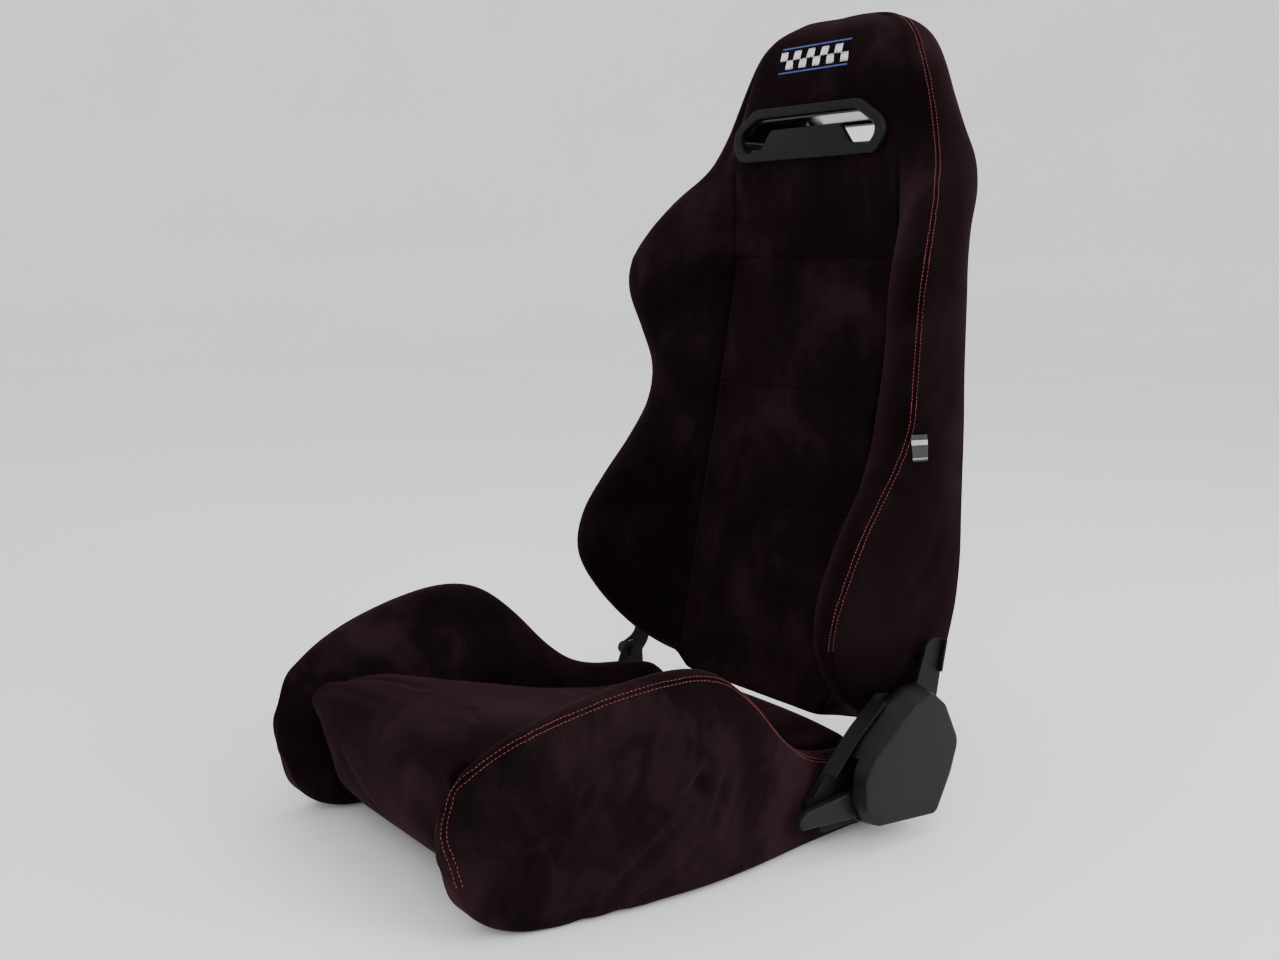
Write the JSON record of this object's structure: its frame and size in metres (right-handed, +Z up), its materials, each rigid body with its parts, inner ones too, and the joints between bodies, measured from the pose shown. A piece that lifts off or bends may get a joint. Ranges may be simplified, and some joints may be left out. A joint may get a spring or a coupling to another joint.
{
  "type": "reclining racing seat",
  "caption": "Reclining sport seat with raised side bolsters, a belt slot in the head, suede covers, a steel frame and a side lever that frees the backrest.",
  "frame": {"origin": "centre of the four mounting holes, on the underside of the base rails", "axes": "+X to the sitter's left, +Y to the rear of the seat, +Z up"},
  "size_m": [0.578, 0.758, 0.936],
  "materials": {
    "black_steel": "black powder coat on stamped and tube steel",
    "zinc_steel": "zinc plated fasteners",
    "spring_steel": "oiled spring steel",
    "foam": "moulded polyurethane foam",
    "suede": "near-black synthetic suede with red double stitching",
    "black_plastic": "satin moulded black plastic",
    "nylon": "natural nylon",
    "woven_tag": "black woven ribbon with a plain pale band"
  },
  "bodies": {
    "base": {"base_rail_left": "black_steel", "base_rail_right": "black_steel", "front_cross_tube": "black_steel", "rear_cross_tube": "black_steel", "mounting_nuts": "zinc_steel", "base_side_plate_left": "black_steel", "base_side_plate_right": "black_steel", "seat_springs": "spring_steel", "base_foam": "foam", "base_cover": "suede", "recliner_bracket_left": "black_steel", "hinge_bracket_right": "black_steel", "bracket_sleeves": "black_steel", "bracket_bolts": "black_steel", "pivot_bolt_left": "black_steel", "pivot_bolt_right": "black_steel", "pivot_washers": "nylon", "pawl_pin": "zinc_steel", "lever_pin": "zinc_steel", "lever_spring": "spring_steel", "recline_spring": "spring_steel", "recliner_cover_left": "black_plastic", "cover_studs": "zinc_steel"},
    "lever": {"lever_plate": "black_steel", "lever_grip": "black_plastic", "grip_rivet": "black_steel"},
    "pawl": {"pawl": "spring_steel"},
    "backrest": {"back_hoop": "black_steel", "lower_back_bar": "black_steel", "upper_back_bar": "black_steel", "back_side_plates": "black_steel", "back_springs": "spring_steel", "back_foam": "foam", "back_cover": "suede", "recliner_arm_left": "black_steel", "hinge_arm_right": "black_steel", "arm_sleeves": "black_steel", "arm_bolts": "black_steel", "slot_front_ring": "black_plastic", "slot_rear_ring": "black_plastic", "side_tag": "woven_tag"}
  },
  "joints": [
    {"name": "backrest_recline", "type": "hinge", "parent": "base", "child": "backrest", "pos_m": [0, 0.196, 0.088], "axis": [-1, 0, 0], "range_deg": [-30, 60]},
    {"name": "lever_lift", "type": "hinge", "parent": "base", "child": "lever", "pos_m": [0.2695, 0.138, 0.076], "axis": [-1, 0, 0], "range_deg": [0, 12], "stiffness_Nm_per_rad": 1.2, "springref_deg": -20.05},
    {"name": "pawl_release", "type": "hinge", "parent": "base", "child": "pawl", "pos_m": [0.2634, 0.158, 0.046], "axis": [1, 0, 0], "range_deg": [0, 12]}
  ],
  "couplings": [
    {"joint": "pawl_release", "follows": "lever_lift", "ratio": 1}
  ]
}
